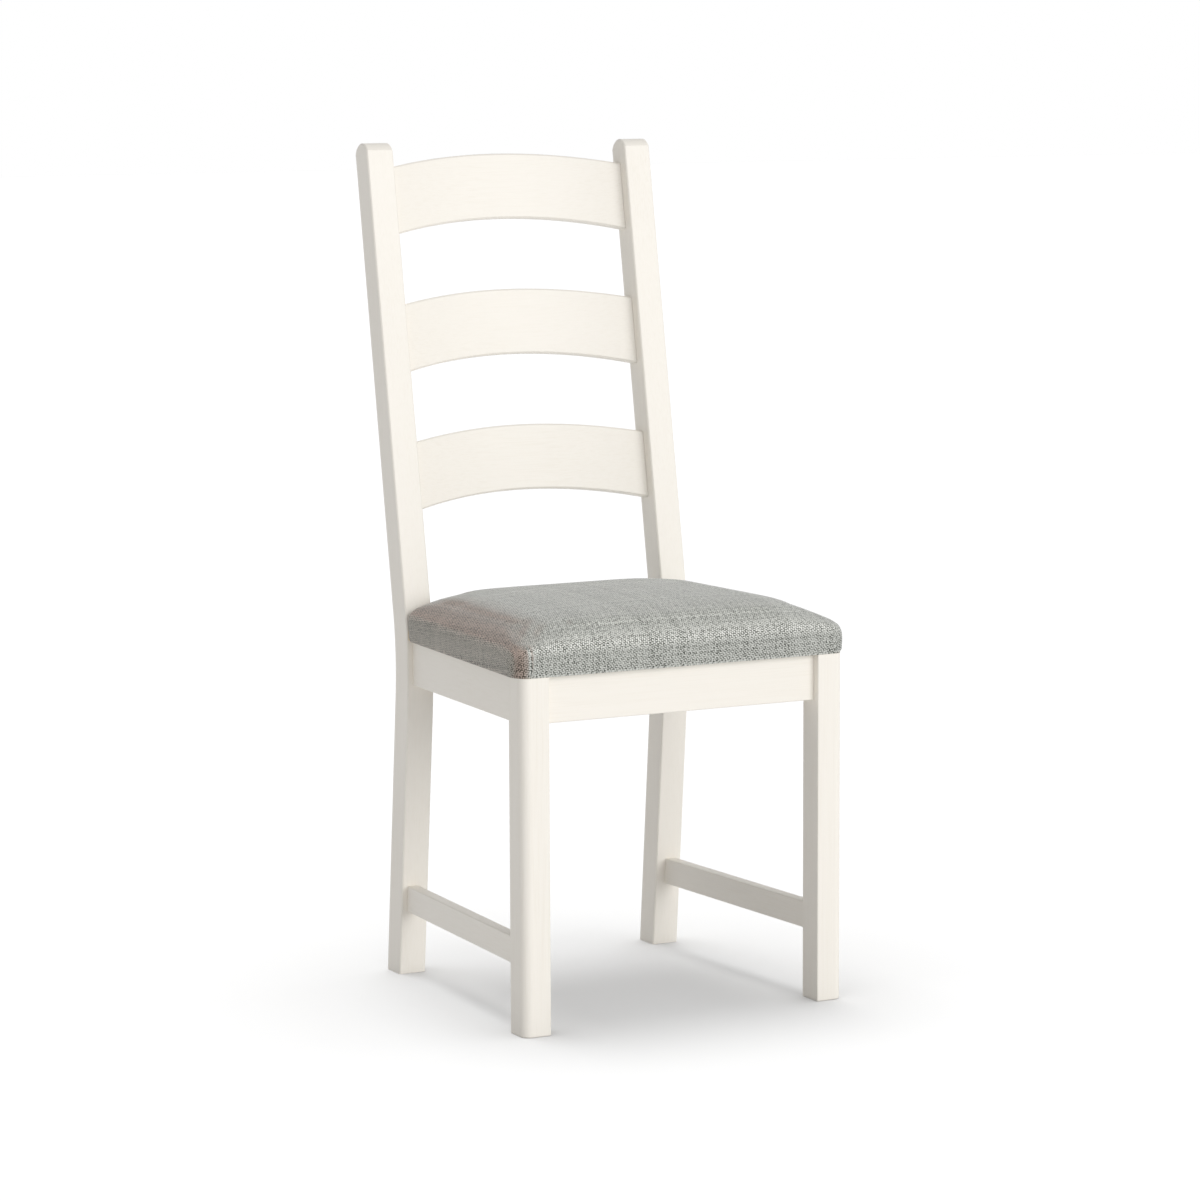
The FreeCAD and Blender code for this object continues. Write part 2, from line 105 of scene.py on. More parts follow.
def new_material(name: str) -> tuple[Material, NodeTree]:
    """Starts a material whose node tree is empty.

    Args:
        name: the material's name.

    Returns:
        The material and its node tree.
    """
    material = bpy.data.materials.new(name)
    material.use_nodes = True
    material.node_tree.nodes.clear()
    return material, material.node_tree


def close_material(tree: NodeTree, shader: NodeSocket) -> None:
    """Links a finished shader to the output of the material whose tree it is in."""
    add_node(tree, "OutputMaterial", {"Surface": shader})


def deselect() -> None:
    """Leaves edit mode and deselects every object."""
    if bpy.context.mode != "OBJECT":
        bpy.ops.object.mode_set(mode="OBJECT")
    bpy.ops.object.select_all(action="DESELECT")


def activate(obj: Object) -> None:
    """Makes one object the only selected and the active one.

    Args:
        obj: the object.
    """
    deselect()
    obj.select_set(True)
    bpy.context.view_layer.objects.active = obj


def select_faces(obj: Object, wanted: Callable[[MeshPolygon], bool]) -> None:
    """Selects faces by their place or normal and goes to edit mode on them.

    Args:
        obj: the mesh object.
        wanted: tells for each face whether it is selected.
    """
    activate(obj)
    mesh = obj.data
    for part in (mesh.vertices, mesh.edges):
        part.foreach_set("select", [False] * len(part))
    mesh.polygons.foreach_set("select", [bool(wanted(face)) for face in mesh.polygons])
    bpy.ops.object.mode_set(mode="EDIT")
    bpy.ops.mesh.select_mode(type="FACE")


def apply_modifier(obj: Object, kind: str, **settings: Any) -> None:
    """Adds a modifier with its settings and applies it.

    Args:
        obj: the object that is changed.
        kind: the modifier's type.
        settings: the modifier's own properties.
    """
    activate(obj)
    modifier = obj.modifiers.new(kind.lower(), kind)
    for name, value in settings.items():
        setattr(modifier, name, value)
    bpy.ops.object.modifier_apply(modifier=modifier.name)


def settle(obj: Object) -> None:
    """Puts the object's place, turn and scale into its mesh."""
    activate(obj)
    bpy.ops.object.transform_apply(location=True, rotation=True, scale=True)


def box(size: Sequence[float], place: Sequence[float] = (0, 0, 0)) -> Object:
    """Adds a plain box.

    Args:
        size: its width, depth and height in metres.
        place: its centre.

    Returns:
        The box.
    """
    deselect()
    bpy.ops.mesh.primitive_cube_add(size=1, location=place)
    made = bpy.context.active_object
    made.scale = size
    settle(made)
    return made


def carve(obj: Object, size: Sequence[float], place: Sequence[float] = (0, 0, 0)) -> None:
    """Cuts a box out of an object.

    Args:
        obj: the object that is cut.
        size: the box's width, depth and height in metres.
        place: the box's centre.
    """
    cutter = box(size, place)
    apply_modifier(obj, "BOOLEAN", operation="DIFFERENCE", object=cutter, solver="EXACT")
    bpy.data.objects.remove(cutter)


def duplicate(obj: Object) -> Object:
    """Copies an object.

    Args:
        obj: the object.

    Returns:
        The copy, with a mesh of its own.
    """
    copy = obj.copy()
    copy.data = obj.data.copy()
    bpy.context.scene.collection.objects.link(copy)
    return copy


def copy_of_node(node: str, name: str) -> Object:
    """Copies the mesh of a CAD node into a new object and merges its loose triangles.

    Args:
        node: the CAD node's name.
        name: the new object's name.

    Returns:
        The new object.
    """
    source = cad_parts[node]
    copy = bpy.data.objects.new(name, source.data.copy())
    bpy.context.scene.collection.objects.link(copy)
    activate(copy)
    bpy.ops.object.mode_set(mode="EDIT")
    bpy.ops.mesh.select_all(action="SELECT")
    bpy.ops.mesh.remove_doubles(threshold=0.00001)
    bpy.ops.object.mode_set(mode="OBJECT")
    return copy


def join(pieces: Sequence[Object], name: str) -> Object:
    """Joins pieces into the first of them.

    Args:
        pieces: the objects, at least one.
        name: the name of the joined object.

    Returns:
        The joined object.
    """
    activate(pieces[0])
    for piece in pieces[1:]:
        piece.select_set(True)
    if len(pieces) > 1:
        bpy.ops.object.join()
    pieces[0].name = name
    return pieces[0]


def hand_over(obj: Object, material: Material) -> None:
    """Gives a finished piece its only material and its body.

    Args:
        obj: the finished piece.
        material: its material.
    """
    settle(obj)
    obj.data.materials.clear()
    obj.data.materials.append(material)
    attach(obj, BODY)
    log.info("made %s with %d faces", obj.name, len(obj.data.polygons))


def dress_node(node: str, material: Material) -> None:
    """Gives a CAD node that stays in view its material.

    Args:
        node: the CAD node's name.
        material: the material for all its faces.
    """
    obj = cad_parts[node]
    for holder in obj.material_slots:
        holder.material = material
    log.info("dressed %s in %s", node, material.name)


class Grain(Enum):
    """The way that the wood's fibres run under the finish."""

    CROSSWISE = 0
    LENGTHWISE = 1
    UPRIGHT = 2


@dataclass(frozen=True)
class SatinPaint:
    """Hardwood under sprayed satin enamel.

    The paint fills the pores, so the eye gets an even ivory with a soft broad gloss. The fibres
    still telegraph through as faint lines along each piece.
    """

    colour: str = "#F9F4EB"
    thin_colour: str = "#F3EDE2"
    roughness: float = 0.42
    fibre_spacing_mm: float = 1.6
    fibre_length_mm: float = 90.0
    fibre_relief_mm: float = 0.02
    fibre_bump: float = 0.35
    orange_peel_mm: float = 0.9
    orange_peel_bump: float = 0.25
    arris_mm: float = 1.1
    cloud_scale: float = 7.0
    streak_from: float = 0.45
    streak_to: float = 0.75
    gloss_less: float = 0.04
    gloss_more: float = 0.06

    def material(self, grain: Grain) -> Material:
        """Builds the paint over fibres that run one way.

        Args:
            grain: the way that the fibres run.

        Returns:
            The material.
        """
        material, tree = new_material("satin_paint_" + grain.name.lower())
        place = add_node(tree, "TexCoord").outputs["Object"]
        stretch = [1 / (self.fibre_spacing_mm * MM)] * 3
        stretch[grain.value] = 1 / (self.fibre_length_mm * MM)
        along = add_node(tree, "Mapping", {"Vector": place, "Scale": stretch}).outputs[0]
        fibres = add_node(tree, "TexNoise", {"Vector": along, "Scale": 1.0, "Detail": 3.0}).outputs[0]
        peel_scale = 1 / (self.orange_peel_mm * MM)
        peel = add_node(tree, "TexNoise", {"Vector": place, "Scale": peel_scale, "Detail": 1.0}).outputs[0]
        cloud = add_node(
            tree, "TexNoise", {"Vector": place, "Scale": self.cloud_scale, "Detail": 2.0}
        ).outputs[0]
        streaks = add_node(
            tree, "MapRange", {"Value": fibres, "From Min": self.streak_from, "From Max": self.streak_to}
        ).outputs[0]
        share = add_node(tree, "Math", {0: streaks, 1: cloud}, operation="MULTIPLY").outputs[0]
        colours = {"Factor": share, 6: linear(self.colour), 7: linear(self.thin_colour)}
        colour = add_node(tree, "Mix", colours, data_type="RGBA").outputs[2]
        rounded = add_node(tree, "Bevel", {"Radius": self.arris_mm * MM}, samples=6).outputs[0]
        skin = rounded
        for height, strength in ((fibres, self.fibre_bump), (peel, self.orange_peel_bump)):
            relief = {"Height": height, "Strength": strength, "Distance": self.fibre_relief_mm * MM}
            skin = add_node(tree, "Bump", {**relief, "Normal": skin}).outputs[0]
        low, high = self.roughness - self.gloss_less, self.roughness + self.gloss_more
        gloss = add_node(tree, "MapRange", {"Value": cloud, "To Min": low, "To Max": high}).outputs[0]
        paint = add_node(tree, "BsdfPrincipled", {"Base Color": colour, "Roughness": gloss, "Normal": skin})
        close_material(tree, paint.outputs[0])
        return material


@dataclass(frozen=True)
class SawnWood:
    """Unfinished wood that only shows from below: pale, matt, with darker growth lines."""

    name: str = "sawn_hardwood"
    light: str = "#DBC39B"
    dark: str = "#B7966A"
    ring_spacing_mm: float = 4.0
    grain: Grain = Grain.CROSSWISE
    length_to_spacing: float = 14.0
    relief_mm: float = 0.1

    def material(self) -> Material:
        """Builds the wood from stretched noise.

        Returns:
            The material.
        """
        material, tree = new_material(self.name)
        place = add_node(tree, "TexCoord").outputs["Object"]
        stretch = [1 / (self.ring_spacing_mm * MM)] * 3
        stretch[self.grain.value] /= self.length_to_spacing
        along = add_node(tree, "Mapping", {"Vector": place, "Scale": stretch}).outputs[0]
        rings = add_node(
            tree, "TexNoise", {"Vector": along, "Scale": 1.0, "Detail": 5.0, "Distortion": 0.6}
        ).outputs[0]
        colour = add_node(
            tree, "Mix", {"Factor": rings, 6: linear(self.dark), 7: linear(self.light)}, data_type="RGBA"
        ).outputs[2]
        bumps = add_node(
            tree, "Bump", {"Height": rings, "Strength": 0.4, "Distance": self.relief_mm * MM}
        ).outputs[0]
        wood = add_node(tree, "BsdfPrincipled", {"Base Color": colour, "Roughness": 0.75, "Normal": bumps})
        close_material(tree, wood.outputs[0])
        return material


@dataclass(frozen=True)
class TweedWeave:
    """Woven tweed: a two-and-two twill of slubby yarns.

    Each yarn mixes white, grey and nearly black fibres and has its own shade, so single yarns
    show as pale or dark lines, and the floats make a fine diagonal hatch whose gaps are darkened
    by painted shade. Painted shade, set by the way the cloth faces, turns it brownish where it
    faces the chair's left and dims its upright sides and, a little, its top, so that the rounded
    shoulder is lightest.
    The real yarns are about 1 mm wide. Here they are drawn twice as wide, so that they show.
    """

    map_name: str = "weave"
    yarn_tints: tuple[tuple[float, str], ...] = ((0.28, "#444741"), (0.47, "#CFD1C8"), (0.68, "#FFFFFA"))
    # Painted shade: a warm brownish darkening where the cloth faces the chair's left.
    painted_side_shade_tints: tuple[tuple[float, str], ...] = (
        (0.35, "#FFFFFF"),
        (0.5, "#FBFBFB"),
        (0.56, "#FBFBFB"),
        (0.73, "#D8C3BB"),
        (0.92, "#D8C3BB"),
        (1.0, "#ECE4DD"),
    )
    # Painted light and shade by how far the cloth faces up: lightest on the shoulder, a little dimmer on the
    # top, dimmest on the upright sides.
    painted_height_shade_tints: tuple[tuple[float, str], ...] = ((0.0, "#F1F2F0"), (0.25, "#FFFFFF"), (0.45, "#D3D4D3"))
    yarn_share: float = 0.32
    slub_share: float = 0.9
    # Painted shade: how much the gaps between the yarns are darkened.
    gap_shade_share: float = 0.8
    fleck_share: float = 0.9
    shade_offset: float = -0.94
    yarn_mm: float = 2.1
    slub_mm: float = 7.0
    fleck_mm: float = 2.2
    drift_mm: float = 9.0
    wander_mm: float = 0.7
    relief_mm: float = 0.55
    fuzz_mm: float = 0.5
    fuzz_share: float = 0.25
    bump: float = 0.6

    def material(self) -> Material:
        """Builds the weave on the piece's own map, which is in metres of cloth.

        Returns:
            The material.
        """
        material, tree = new_material("tweed_weave")
        cloth = add_node(tree, "UVMap", uv_map=self.map_name).outputs[0]
        drift = add_node(
            tree, "TexNoise", {"Vector": cloth, "Scale": 1 / (self.drift_mm * MM), "Detail": 1.0}
        ).outputs[1]
        wander = add_node(
            tree, "VectorMath", {0: drift, "Scale": self.wander_mm * MM}, operation="SCALE"
        ).outputs[0]
        yarns = add_node(tree, "VectorMath", {0: wander, 1: cloth}, operation="ADD").outputs[0]
        counts = add_node(
            tree, "VectorMath", {0: yarns, "Scale": 1 / (self.yarn_mm * MM)}, operation="SCALE"
        ).outputs[0]
        warp_on_top, height = self.floats(tree, counts)
        shade = self.shade(tree, cloth, counts, warp_on_top, height)
        fuzz = add_node(
            tree, "TexNoise", {"Vector": cloth, "Scale": 1 / (self.fuzz_mm * MM), "Detail": 1.0}
        ).outputs[0]
        fibres = add_node(
            tree, "Math", {0: fuzz, 1: self.fuzz_share, 2: height}, operation="MULTIPLY_ADD"
        ).outputs[0]
        bumps = add_node(
            tree, "Bump", {"Height": fibres, "Strength": self.bump, "Distance": self.relief_mm * MM}
        ).outputs[0]
        # The base colour carries the painted shade by facing; the sheen is the shader's own.
        fabric_with_painted_shade = {
            "Base Color": self.colour(tree, shade),
            "Roughness": 0.92,
            "Specular IOR Level": 0.25,
            "Sheen Weight": 0.65,
            "Sheen Roughness": 0.4,
            "Normal": bumps,
        }
        close_material(tree, add_node(tree, "BsdfPrincipled", fabric_with_painted_shade).outputs[0])
        return material

    def colour(self, tree: NodeTree, shade: NodeSocket) -> NodeSocket:
        """Colours the yarns by their shade, then darkens them with painted shade by the way the cloth faces.

        Args:
            tree: the material's node tree.
            shade: the shade of the yarns, from 0 for dark to 1 for light.

        Returns:
            The colour.
        """
        # The cloth's normal drives painted shade: each ramp after the first darkens the cloth by the way it
        # faces.
        facing = add_node(tree, "TexCoord").outputs["Normal"]
        axes = add_node(tree, "SeparateXYZ", {0: facing}).outputs
        turned = [
            add_node(tree, "MapRange", {"Value": axis, "From Min": 1.0, "From Max": -1.0}).outputs[0]
            for axis in (axes[0], axes[2])
        ]
        colour = None
        tints = (self.yarn_tints, self.painted_side_shade_tints, self.painted_height_shade_tints)
        for amount, (first, *between, last) in zip((shade, *turned), tints):
            ramp = add_node(tree, "ValToRGB", {0: amount})
            stops = ramp.color_ramp.elements
            stops[0].position, stops[0].color = first[0], linear(first[1])
            stops[1].position, stops[1].color = last[0], linear(last[1])
            for position, tint in between:
                stops.new(position).color = linear(tint)
            if colour is None:
                colour = ramp.outputs[0]
                continue
            both = {"Factor": 1.0, 6: colour, 7: ramp.outputs[0]}
            colour = add_node(tree, "Mix", both, data_type="RGBA", blend_type="MULTIPLY").outputs[2]
        return colour

    def floats(self, tree: NodeTree, counts: NodeSocket) -> tuple[NodeSocket, NodeSocket]:
        """Works out the twill: each yarn goes over two and under two, one further in each row.

        Args:
            tree: the material's node tree.
            counts: the place on the cloth, in yarns.

        Returns:
            One where the warp lies on top and zero elsewhere, and the height of the yarn on top.
        """
        crossing = add_node(tree, "VectorMath", {0: counts}, operation="FLOOR").outputs[0]
        axes = add_node(tree, "SeparateXYZ", {0: counts}).outputs
        swapped = add_node(tree, "CombineXYZ", {0: axes[1], 1: axes[0]}).outputs[0]
        along = add_node(tree, "VectorMath", {0: swapped, 1: crossing}, operation="ADD").outputs[0]
        quarter = add_node(tree, "VectorMath", {0: along, "Scale": math.pi / 2}, operation="SCALE").outputs[0]
        wave = add_node(tree, "VectorMath", {0: quarter}, operation="SINE").outputs[0]
        warp_wave = add_node(tree, "SeparateXYZ", {0: wave}).outputs[0]
        warp_on_top = add_node(tree, "Math", {0: warp_wave, 1: 0.0}, operation="GREATER_THAN").outputs[0]
        half = add_node(tree, "VectorMath", {0: counts, "Scale": math.pi}, operation="SCALE").outputs[0]
        width = add_node(tree, "VectorMath", {0: half}, operation="SINE").outputs[0]
        product = add_node(tree, "VectorMath", {0: wave, 1: width}, operation="MULTIPLY").outputs[0]
        rounded = add_node(tree, "VectorMath", {0: product}, operation="ABSOLUTE").outputs[0]
        humps = add_node(tree, "SeparateXYZ", {0: rounded}).outputs
        hump = add_node(
            tree, "Mix", {"Factor": warp_on_top, 2: humps[1], 3: humps[0]}, data_type="FLOAT"
        ).outputs[0]
        return warp_on_top, add_node(tree, "Math", {0: hump, 1: 0.6}, operation="POWER").outputs[0]

    def shade(
        self,
        tree: NodeTree,
        cloth: NodeSocket,
        counts: NodeSocket,
        warp_on_top: NodeSocket,
        height: NodeSocket,
    ) -> NodeSocket:
        """Mixes each yarn's own shade with its slubs, its flecks and painted shade in the gaps between the
        yarns.

        Args:
            tree: the material's node tree.
            cloth: the place on the cloth, in metres.
            counts: the place on the cloth, in yarns.
            warp_on_top: one where the warp lies on top.
            height: the height of the yarn on top.

        Returns:
            The shade, from 0 for dark to 1 for light.
        """
        crossing = add_node(tree, "VectorMath", {0: counts}, operation="FLOOR").outputs[0]
        numbers = add_node(tree, "SeparateXYZ", {0: crossing}).outputs
        weft_number = add_node(tree, "Math", {0: numbers[1], 1: 0.37}, operation="ADD").outputs[0]
        number = add_node(
            tree, "Mix", {"Factor": warp_on_top, 2: weft_number, 3: numbers[0]}, data_type="FLOAT"
        ).outputs[0]
        own = add_node(tree, "TexWhiteNoise", {"W": number}, noise_dimensions="1D").outputs[0]
        shrink = self.yarn_mm / self.slub_mm
        warp_place = add_node(tree, "Mapping", {0: counts, "Scale": (1, shrink, 1)}).outputs[0]
        weft_place = add_node(tree, "Mapping", {0: counts, "Scale": (shrink, 1, 1)}).outputs[0]
        place = add_node(
            tree, "Mix", {"Factor": warp_on_top, 4: weft_place, 5: warp_place}, data_type="VECTOR"
        ).outputs[1]
        slubs = add_node(tree, "TexNoise", {"Vector": place, "Scale": 1.0, "Detail": 3.0}).outputs[0]
        flecks = add_node(
            tree, "TexNoise", {"Vector": cloth, "Scale": 1 / (self.fleck_mm * MM), "Detail": 2.0}
        ).outputs[0]
        shade: NodeSocket | float = self.shade_offset
        # The height term paints shade where each yarn dips into the gaps.
        shares = (
            (own, self.yarn_share),
            (slubs, self.slub_share),
            (height, self.gap_shade_share),
            (flecks, self.fleck_share),
        )
        for amount, share in shares:
            sum_up = {0: amount, 1: share, 2: shade}
            shade = add_node(tree, "Math", sum_up, operation="MULTIPLY_ADD").outputs[0]
        return shade


@dataclass(frozen=True)
class SpunCloth:
    """Thin non-woven polypropylene, black, with a grid of small weld points."""

    colour: str = "#1E1E20"
    weld_colour: str = "#2C2C2F"
    weld_spacing_mm: float = 1.8

    def material(self) -> Material:
        """Builds the cloth from a grid of welds on Object coordinates.

        Returns:
            The material.
        """
        material, tree = new_material("spun_cloth")
        place = add_node(tree, "TexCoord").outputs["Object"]
        grid = {"Vector": place, "Scale": 1 / (self.weld_spacing_mm * MM), "Randomness": 0.15}
        welds = add_node(tree, "TexVoronoi", grid).outputs[0]
        spots = add_node(tree, "MapRange", {"Value": welds, "From Min": 0.35, "From Max": 0.2}).outputs[0]
        colours = {"Factor": spots, 6: linear(self.colour), 7: linear(self.weld_colour)}
        colour = add_node(tree, "Mix", colours, data_type="RGBA").outputs[2]
        dents = add_node(tree, "Bump", {"Height": welds, "Strength": 0.5, "Distance": 0.15 * MM}).outputs[0]
        cloth = add_node(tree, "BsdfPrincipled", {"Base Color": colour, "Roughness": 0.8, "Normal": dents})
        close_material(tree, cloth.outputs[0])
        return material


@dataclass(frozen=True)
class ZincPlate:
    """Steel fasteners with bright zinc plating: a pale metal, slightly clouded."""

    colour: str = "#C9C8C2"
    roughness: float = 0.34
    gloss_less: float = 0.08
    gloss_more: float = 0.1
    cloud_mm: float = 2.0

    def material(self) -> Material:
        """Builds the plated metal.

        Returns:
            The material.
        """
        material, tree = new_material("zinc_plate")
        place = add_node(tree, "TexCoord").outputs["Object"]
        cloud = add_node(tree, "TexNoise", {"Vector": place, "Scale": 1 / (self.cloud_mm * MM)}).outputs[0]
        low, high = self.roughness - self.gloss_less, self.roughness + self.gloss_more
        gloss = add_node(tree, "MapRange", {"Value": cloud, "To Min": low, "To Max": high}).outputs[0]
        steel = {"Base Color": linear(self.colour), "Metallic": 1.0, "Roughness": gloss}
        close_material(tree, add_node(tree, "BsdfPrincipled", steel).outputs[0])
        return material


@dataclass
class WoodenFrame:
    """Legs, posts, rails, stretchers and slats: CAD nodes under one paint."""

    paint: SatinPaint = field(default_factory=SatinPaint)
    upright: tuple[str, ...] = ("rear_post_left", "rear_post_right", "front_leg_left", "front_leg_right")
    crosswise: tuple[str, ...] = ("front_rail", "rear_rail", "bottom_slat", "middle_slat", "top_slat")
    lengthwise: tuple[str, ...] = (
        "side_rail_left",
        "side_rail_right",
        "side_stretcher_left",
        "side_stretcher_right",
    )

    def build(self) -> None:
        """Paints each piece with its fibres along its length."""
        runs = (
            (Grain.UPRIGHT, self.upright),
            (Grain.CROSSWISE, self.crosswise),
            (Grain.LENGTHWISE, self.lengthwise),
        )
        for grain, nodes in runs:
            material = self.paint.material(grain)
            for node in nodes:
                dress_node(node, material)


@dataclass
class HiddenWood:
    """Corner blocks and plywood seat board, in bare wood."""

    blocks: tuple[str, ...] = (
        "corner_block_front_left",
        "corner_block_front_right",
        "corner_block_rear_left",
        "corner_block_rear_right",
    )
    board: str = "seat_board"

    def build(self) -> None:
        """Dresses the blocks and the board."""
        block_wood = SawnWood().material()
        for node in self.blocks:
            dress_node(node, block_wood)
        plywood = SawnWood("birch_plywood", "#E3CFA6", "#C9AD7C", 7.0, Grain.LENGTHWISE)
        dress_node(self.board, plywood.material())


@dataclass
class SeatPad:
    """Upholstered pad: fabric pulled over foam, crowned, its sides drawn in to the board."""

    notch_x_mm: float = 167.5
    notch_y_mm: float = 103.3
    notch_z_mm: float = 470.0
    notch_box_mm: float = 200.0
    bottom_mm: float = 441.0
    skirt_mm: float = 12.0
    voxel_mm: float = 5.0
    smoothing: float = 0.5
    smooth_before: int = 4
    smooth_after: int = 3
    slack_mm: float = 0.3
    swell_cap_mm: float = 2.2
    swell_steps: int = 20
    pressure: float = 4.0
    fabric_mass: float = 0.3
    stretch_stiffness: float = 15.0
    bending_stiffness: float = 0.5
    held_below_mm: float = 456.0
    freed_over_mm: float = 12.0
    trim_mm: float = 444.5
    tucks_mm: tuple[tuple[float, float], ...] = ((2.0, 0.4), (1.5, 1.2))
    side_top_mm: float = 470.0
    roll_height_mm: float = 30.0
    roll_extra_mm: float = 9.4
    pleat_inset_mm: float = 20.0
    pleat_depth_mm: float = 0.5
    pleat_width_mm: float = 1.6
    pleat_lap: float = 0.5
    pleat_lap_place: float = 2.0
    pleat_top_mm: float = 486.0
    pleat_fade_mm: float = 14.0
    pleat_foot_mm: float = 8.0
    pleat_front_mm: float = 12.0
    refined_beside_mm: float = 9.0
    refined_above_mm: float = 4.0
    smooth_below_degrees: float = 60.0

    def build(self) -> None:
        """Models the pad from its CAD outside and hands it over."""
        pad = self.block()
        self.relax(pad)
        self.inflate(pad)
        apply_modifier(pad, "SUBSURF", levels=1, render_levels=1)
        self.pleat_corners(pad)
        self.turn_under(pad)
        self.map_cloth(pad)
        activate(pad)
        bpy.ops.object.shade_smooth_by_angle(angle=math.radians(self.smooth_below_degrees))
        hand_over(pad, TweedWeave().material())
        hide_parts("seat_cover", "seat_foam")

    def block(self) -> Object:
        """Makes the closed outside of the pad, notched round the posts.

        Returns:
            The pad as an even grid of small faces.
        """
        pad = copy_of_node("seat_cover", "seat_pad")
        bpy.ops.object.mode_set(mode="EDIT")
        bpy.ops.mesh.select_all(action="SELECT")
        bpy.ops.mesh.convex_hull()
        bpy.ops.mesh.select_all(action="SELECT")
        bpy.ops.mesh.normals_make_consistent(inside=False)
        bpy.ops.object.mode_set(mode="OBJECT")
        co = points_of(pad.data)
        co[co[:, 2] < (self.bottom_mm + 1) * MM, 2] -= self.skirt_mm * MM
        set_points(pad.data, co)
        size = self.notch_box_mm * MM
        for side in (-1, 1):
            x, y = side * (self.notch_x_mm * MM + size / 2), self.notch_y_mm * MM + size / 2
            carve(pad, (size, size, size), (x, y, self.notch_z_mm * MM))
        apply_modifier(pad, "REMESH", mode="VOXEL", voxel_size=self.voxel_mm * MM, adaptivity=0.0)
        return pad

    def relax(self, pad: Object) -> None:
        """Evens out the remesh and draws the skin in, so that the swelling ends on the outside.

        Args:
            pad: the pad.
        """
        apply_modifier(pad, "SMOOTH", factor=self.smoothing, iterations=self.smooth_before)
        slack = self.slack_mm
        mesh = pad.data
        co = points_of(mesh)
        free = np.clip((co[:, 2] / MM - self.held_below_mm) / self.freed_over_mm, 0, 1)[:, None]
        set_points(mesh, co - normals_of(mesh) * free * slack * MM)

    def inflate(self, pad: Object) -> None:
        """Swells the skin outwards under pressure, with its lower edge held to the board.

        Args:
            pad: the pad.
        """
        mesh = pad.data
        before, normals = points_of(mesh), normals_of(mesh)
        held = pad.vertex_groups.new(name="held")
        low = np.nonzero(before[:, 2] < self.held_below_mm * MM)[0]
        held.add([int(index) for index in low], 1.0, "REPLACE")
        activate(pad)
        cloth = pad.modifiers.new("swelling", "CLOTH")
        cloth.settings.quality = 5
        cloth.settings.mass = self.fabric_mass
        cloth.settings.use_pressure = True
        cloth.settings.uniform_pressure_force = self.pressure
        cloth.settings.vertex_group_mass = held.name
        cloth.settings.effector_weights.gravity = 0.0
        cloth.settings.tension_stiffness = self.stretch_stiffness
        cloth.settings.compression_stiffness = self.stretch_stiffness
        cloth.settings.bending_stiffness = self.bending_stiffness
        cloth.collision_settings.use_collision = False
        cloth.point_cache.frame_start = 1
        cloth.point_cache.frame_end = self.swell_steps
        for step in range(1, self.swell_steps + 1):
            bpy.context.scene.frame_set(step)
        bpy.ops.object.modifier_apply(modifier=cloth.name)
        bpy.context.scene.frame_set(1)
        rise = ((points_of(mesh) - before) * normals).sum(axis=1, keepdims=True)
        log.info("the pad swelled by %.1f mm at most before the cap", float(rise.max()) / MM)
        cap = self.swell_cap_mm * MM
        set_points(mesh, before + normals * cap * np.tanh(np.clip(rise, 0, None) / cap))
        apply_modifier(pad, "SMOOTH", factor=self.smoothing, iterations=self.smooth_after)

    def pleat_corners(self, pad: Object) -> None:
        """Folds the fabric that is gathered at each front corner into an upright pleat.

        Args:
            pad: the pad.
        """
        low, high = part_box("seat_cover")
        lines = [low.x + self.pleat_inset_mm * MM, high.x - self.pleat_inset_mm * MM]
        front = low.y + self.pleat_front_mm * MM
        top = self.pleat_top_mm * MM

        def near(face: MeshPolygon) -> bool:
            """Tells whether a face lies round one of the pleats, on the pad's front."""
            beside = min(abs(face.center.x - line) for line in lines) < self.refined_beside_mm * MM
            return beside and face.center.y < front and face.center.z < top + self.refined_above_mm * MM

        select_faces(pad, near)
        bpy.ops.mesh.subdivide(number_cuts=1, smoothness=0.0)
        bpy.ops.object.mode_set(mode="OBJECT")
        mesh = pad.data
        co, normals = points_of(mesh), normals_of(mesh)
        fade = np.clip((top - co[:, 2]) / (self.pleat_fade_mm * MM), 0, 1) * (co[:, 1] < front)
        fade *= np.clip((co[:, 2] / MM - self.trim_mm) / self.pleat_foot_mm, 0, 1)
        for line in lines:
            outward = math.copysign(1, line) * (co[:, 0] - line) / (self.pleat_width_mm * MM)
            lap = self.pleat_lap * np.exp(-(outward - self.pleat_lap_place) ** 2 / 2)
            rise = (lap - np.exp(-outward ** 2)) * fade * self.pleat_depth_mm * MM
            co = co + normals * rise[:, None]
        set_points(mesh, co)

    def turn_under(self, pad: Object) -> None:
        """Trims the skirt off level and turns the fabric's edge in under the board.

        Args:
            pad: the pad.
        """
        activate(pad)
        bpy.ops.object.mode_set(mode="EDIT")
        bpy.ops.mesh.select_all(action="SELECT")
        bpy.ops.mesh.bisect(
            plane_co=(0, 0, self.trim_mm * MM), plane_no=(0, 0, 1), clear_inner=True, use_fill=False
        )
        low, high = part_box("seat_cover")
        middle = (low + high) / 2
        half_width, half_depth = (high.x - low.x) / 2, (high.y - low.y) / 2
        for drop, draw in self.tucks_mm:
            bpy.ops.mesh.extrude_region_move(TRANSFORM_OT_translate={"value": (0, 0, -drop * MM)})
            bpy.ops.transform.resize(
                value=(1 - draw * MM / half_width, 1 - draw * MM / half_depth, 1),
                center_override=(middle.x, middle.y, 0),
            )
        bpy.ops.mesh.edge_face_add()
        bpy.ops.mesh.quads_convert_to_tris()
        bpy.ops.mesh.select_all(action="SELECT")
        bpy.ops.mesh.normals_make_consistent(inside=False)
        bpy.ops.object.mode_set(mode="OBJECT")

